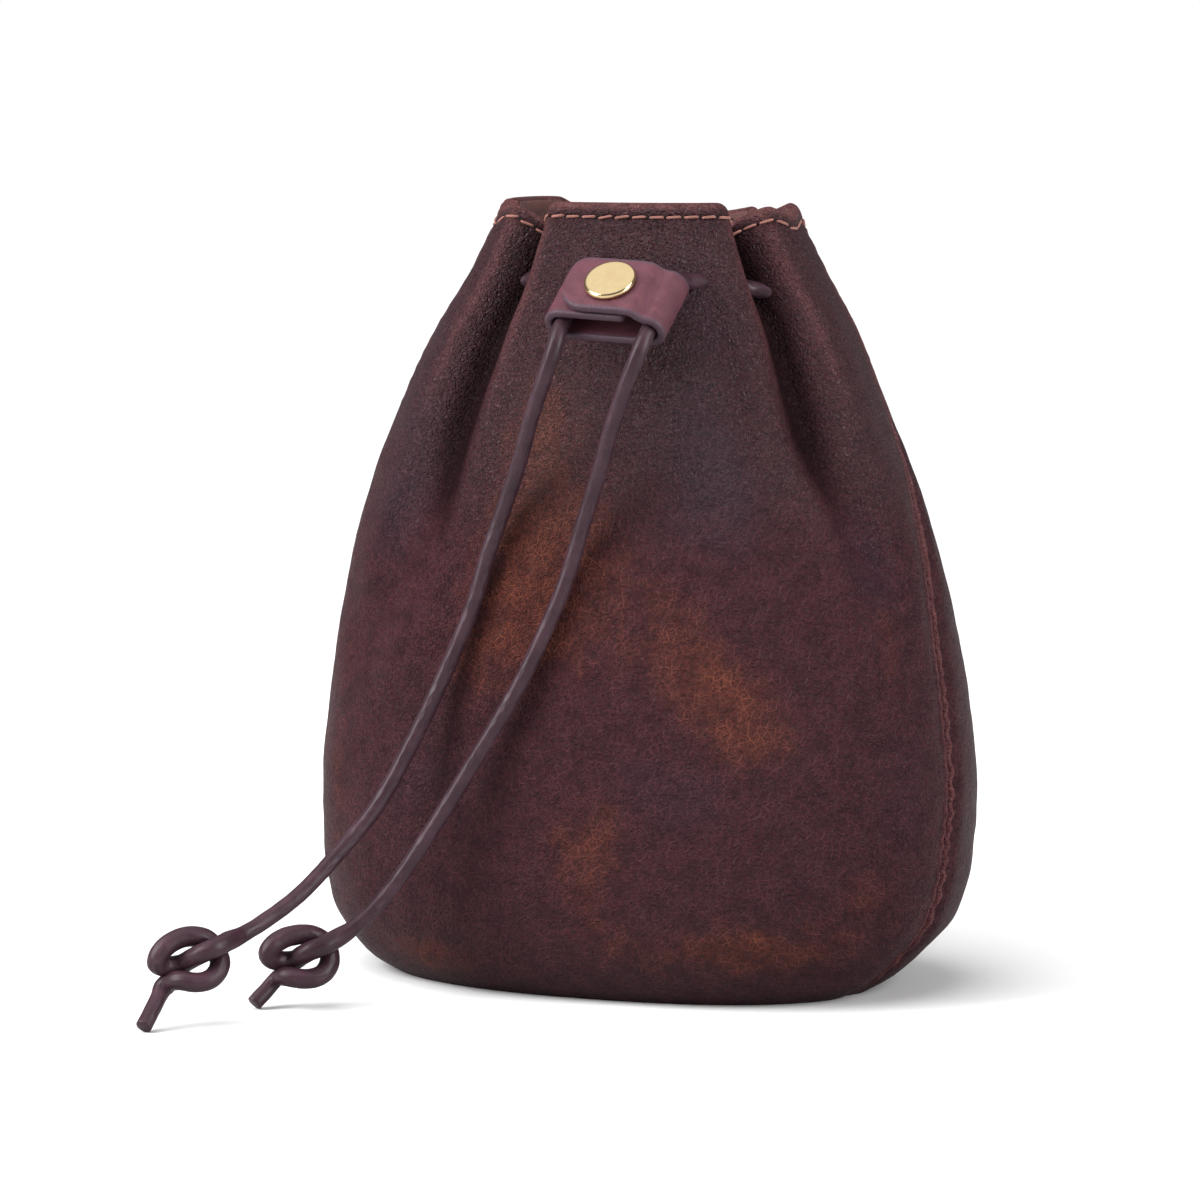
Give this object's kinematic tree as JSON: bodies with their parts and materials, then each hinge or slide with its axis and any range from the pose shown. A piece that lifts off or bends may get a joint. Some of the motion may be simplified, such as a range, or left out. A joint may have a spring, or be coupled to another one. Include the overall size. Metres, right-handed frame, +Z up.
{
  "type": "drawstring bag",
  "caption": "Small pear-shaped leather drawstring bag with a gathered mouth, a riveted cord keeper and two knotted leather cord ends.",
  "frame": {"origin": "on the floor under the middle of the bag, not counting the free cord ends", "axes": "+Z up to the mouth, -Y out of the front with the cord keeper, +X to the right of the front view"},
  "size_m": [0.1479, 0.1437, 0.168],
  "materials": {
    "body_leather": "worn pull-up leather, plum brown with rust patches, low sheen",
    "keeper_leather": "smooth matt plum leather with dark cut edges",
    "cord_leather": "round leather lace, dark plum, slight sheen",
    "rivet_metal": "polished pale gold"
  },
  "bodies": {
    "root": {"front_panel": "body_leather", "back_panel": "body_leather", "cord_keeper": "keeper_leather", "rivet": "rivet_metal", "neck_cord": "cord_leather", "left_cord": "cord_leather", "right_cord": "cord_leather", "left_knot": "cord_leather", "right_knot": "cord_leather"}
  },
  "joints": []
}
